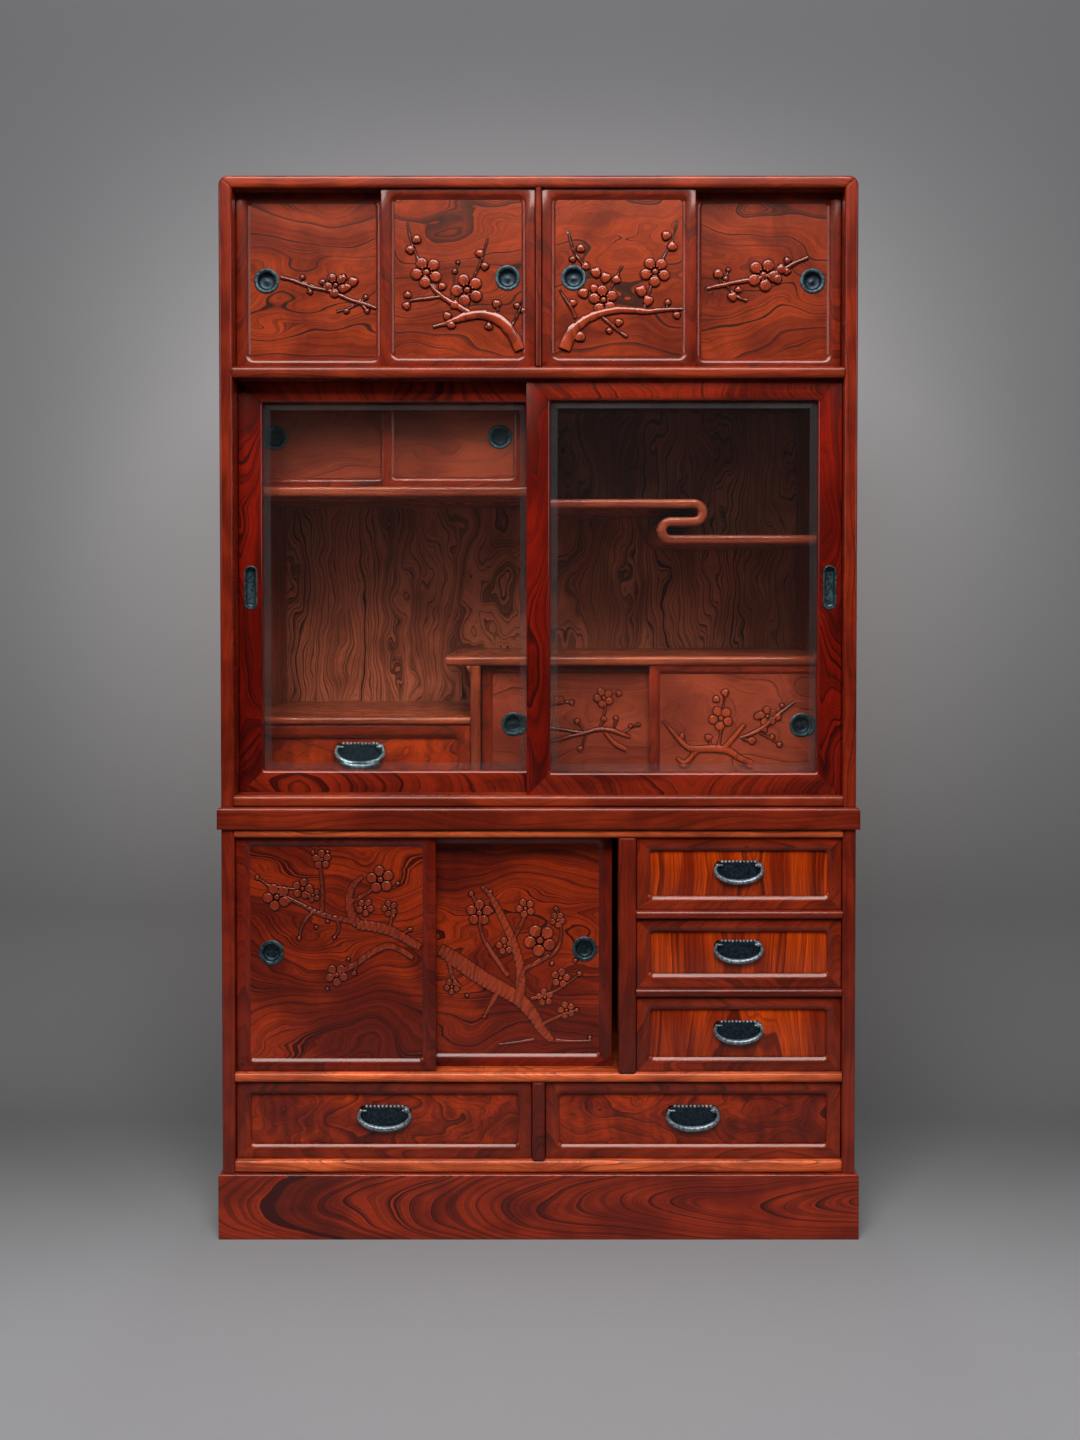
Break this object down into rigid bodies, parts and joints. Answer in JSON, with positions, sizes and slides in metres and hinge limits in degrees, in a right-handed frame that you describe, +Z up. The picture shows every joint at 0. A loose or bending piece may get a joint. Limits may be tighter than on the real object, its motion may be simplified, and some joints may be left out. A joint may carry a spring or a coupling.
{
  "type": "mizuya kitchen cabinet",
  "caption": "Two-part wooden kitchen cabinet with carved sliding doors above and below, sliding glass doors over shelves, and drawers with bail handles.",
  "frame": {"origin": "on the floor, under the middle of the cabinet", "axes": "+Z up, -Y towards the front of the cabinet, +X to the right as seen from the front"},
  "size_m": [1.06, 0.44, 1.755],
  "materials": {
    "case_wood": "red-brown lacquer over open grain, satin gloss",
    "door_wood": "red-brown lacquer over figured grain, satin gloss",
    "frame_wood": "deep red lacquer, satin gloss",
    "drawer_wood": "red-brown lacquer on the front, plain wood inside",
    "back_wood": "brown figured panel, low gloss",
    "pane_glass": "clear polished plate glass with bevelled edges",
    "patinated_iron": "blue-black patina with worn bright edges"
  },
  "bodies": {
    "case": {"plinth": "case_wood", "lower_sides": "case_wood", "lower_bottom": "case_wood", "track_shelf": "case_wood", "lower_top": "case_wood", "lower_partitions": "case_wood", "waist_board": "case_wood", "upper_sides": "case_wood", "upper_bottom": "case_wood", "middle_board": "case_wood", "top_board": "case_wood", "top_partition": "case_wood", "back_panels": "back_wood", "hanging_cabinet": "case_wood", "stagger_shelves": "case_wood", "ledge_cabinet": "case_wood"},
    "far_left_top_door": {"far_left_top_door_leaf": "door_wood", "far_left_top_door_pull": "patinated_iron"},
    "left_top_door": {"left_top_door_leaf": "door_wood", "left_top_door_pull": "patinated_iron"},
    "right_top_door": {"right_top_door_leaf": "door_wood", "right_top_door_pull": "patinated_iron"},
    "far_right_top_door": {"far_right_top_door_leaf": "door_wood", "far_right_top_door_pull": "patinated_iron"},
    "left_hanging_door": {"left_hanging_door_leaf": "door_wood", "left_hanging_door_pull": "patinated_iron"},
    "right_hanging_door": {"right_hanging_door_leaf": "door_wood", "right_hanging_door_pull": "patinated_iron"},
    "left_ledge_door": {"left_ledge_door_leaf": "door_wood", "left_ledge_door_pull": "patinated_iron"},
    "right_ledge_door": {"right_ledge_door_leaf": "door_wood", "right_ledge_door_pull": "patinated_iron"},
    "left_lower_door": {"left_lower_door_leaf": "door_wood", "left_lower_door_pull": "patinated_iron"},
    "right_lower_door": {"right_lower_door_leaf": "door_wood", "right_lower_door_pull": "patinated_iron"},
    "left_glass_door": {"left_glass_door_frame": "frame_wood", "left_glass_door_pane": "pane_glass", "left_glass_door_pull": "patinated_iron"},
    "right_glass_door": {"right_glass_door_frame": "frame_wood", "right_glass_door_pane": "pane_glass", "right_glass_door_pull": "patinated_iron"},
    "left_wide_drawer": {"left_wide_drawer_box": "drawer_wood", "left_wide_drawer_handle_plate": "patinated_iron"},
    "left_wide_drawer_bail": {"left_wide_drawer_bail": "patinated_iron"},
    "right_wide_drawer": {"right_wide_drawer_box": "drawer_wood", "right_wide_drawer_handle_plate": "patinated_iron"},
    "right_wide_drawer_bail": {"right_wide_drawer_bail": "patinated_iron"},
    "inner_drawer": {"inner_drawer_box": "drawer_wood", "inner_drawer_handle_plate": "patinated_iron"},
    "inner_drawer_bail": {"inner_drawer_bail": "patinated_iron"},
    "bottom_small_drawer": {"bottom_small_drawer_box": "drawer_wood", "bottom_small_drawer_handle_plate": "patinated_iron"},
    "bottom_small_drawer_bail": {"bottom_small_drawer_bail": "patinated_iron"},
    "middle_small_drawer": {"middle_small_drawer_box": "drawer_wood", "middle_small_drawer_handle_plate": "patinated_iron"},
    "middle_small_drawer_bail": {"middle_small_drawer_bail": "patinated_iron"},
    "top_small_drawer": {"top_small_drawer_box": "drawer_wood", "top_small_drawer_handle_plate": "patinated_iron"},
    "top_small_drawer_bail": {"top_small_drawer_bail": "patinated_iron"}
  },
  "joints": [
    {"name": "far_left_top_door_slide", "type": "slide", "parent": "case", "child": "far_left_top_door", "axis": [1, 0, 0], "range_m": [0, 0.243]},
    {"name": "left_top_door_slide", "type": "slide", "parent": "case", "child": "left_top_door", "axis": [1, 0, 0], "range_m": [-0.243, 0]},
    {"name": "right_top_door_slide", "type": "slide", "parent": "case", "child": "right_top_door", "axis": [1, 0, 0], "range_m": [0, 0.243]},
    {"name": "far_right_top_door_slide", "type": "slide", "parent": "case", "child": "far_right_top_door", "axis": [1, 0, 0], "range_m": [-0.243, 0]},
    {"name": "left_hanging_door_slide", "type": "slide", "parent": "case", "child": "left_hanging_door", "axis": [1, 0, 0], "range_m": [0, 0.232]},
    {"name": "right_hanging_door_slide", "type": "slide", "parent": "case", "child": "right_hanging_door", "axis": [1, 0, 0], "range_m": [-0.232, 0]},
    {"name": "left_ledge_door_slide", "type": "slide", "parent": "case", "child": "left_ledge_door", "axis": [1, 0, 0], "range_m": [0, 0.29125]},
    {"name": "right_ledge_door_slide", "type": "slide", "parent": "case", "child": "right_ledge_door", "axis": [1, 0, 0], "range_m": [-0.29125, 0]},
    {"name": "left_lower_door_slide", "type": "slide", "parent": "case", "child": "left_lower_door", "axis": [1, 0, 0], "range_m": [0, 0.302]},
    {"name": "right_lower_door_slide", "type": "slide", "parent": "case", "child": "right_lower_door", "axis": [1, 0, 0], "range_m": [-0.294, 0.008]},
    {"name": "left_glass_door_slide", "type": "slide", "parent": "case", "child": "left_glass_door", "axis": [1, 0, 0], "range_m": [0, 0.482]},
    {"name": "right_glass_door_slide", "type": "slide", "parent": "case", "child": "right_glass_door", "axis": [1, 0, 0], "range_m": [-0.482, 0]},
    {"name": "left_wide_drawer_slide", "type": "slide", "parent": "case", "child": "left_wide_drawer", "axis": [0, -1, 0], "range_m": [0, 0.32]},
    {"name": "left_wide_drawer_bail_hinge", "type": "hinge", "parent": "left_wide_drawer", "child": "left_wide_drawer_bail", "pos_m": [-0.257, -0.205, 0.2074], "axis": [-1, 0, 0], "range_deg": [0, 85]},
    {"name": "right_wide_drawer_slide", "type": "slide", "parent": "case", "child": "right_wide_drawer", "axis": [0, -1, 0], "range_m": [0, 0.32]},
    {"name": "right_wide_drawer_bail_hinge", "type": "hinge", "parent": "right_wide_drawer", "child": "right_wide_drawer_bail", "pos_m": [0.257, -0.205, 0.2074], "axis": [-1, 0, 0], "range_deg": [0, 85]},
    {"name": "inner_drawer_slide", "type": "slide", "parent": "case", "child": "inner_drawer", "axis": [0, -1, 0], "range_m": [0, 0.045]},
    {"name": "inner_drawer_bail_hinge", "type": "hinge", "parent": "inner_drawer", "child": "inner_drawer_bail", "pos_m": [-0.31125, -0.103, 0.8024], "axis": [-1, 0, 0], "range_deg": [0, 85]},
    {"name": "bottom_small_drawer_slide", "type": "slide", "parent": "case", "child": "bottom_small_drawer", "axis": [0, -1, 0], "range_m": [0, 0.32]},
    {"name": "bottom_small_drawer_bail_hinge", "type": "hinge", "parent": "bottom_small_drawer", "child": "bottom_small_drawer_bail", "pos_m": [0.3325, -0.205, 0.3514], "axis": [-1, 0, 0], "range_deg": [0, 85]},
    {"name": "middle_small_drawer_slide", "type": "slide", "parent": "case", "child": "middle_small_drawer", "axis": [0, -1, 0], "range_m": [0, 0.32]},
    {"name": "middle_small_drawer_bail_hinge", "type": "hinge", "parent": "middle_small_drawer", "child": "middle_small_drawer_bail", "pos_m": [0.3325, -0.205, 0.4864], "axis": [-1, 0, 0], "range_deg": [0, 85]},
    {"name": "top_small_drawer_slide", "type": "slide", "parent": "case", "child": "top_small_drawer", "axis": [0, -1, 0], "range_m": [0, 0.32]},
    {"name": "top_small_drawer_bail_hinge", "type": "hinge", "parent": "top_small_drawer", "child": "top_small_drawer_bail", "pos_m": [0.3325, -0.205, 0.6189], "axis": [-1, 0, 0], "range_deg": [0, 85]}
  ]
}
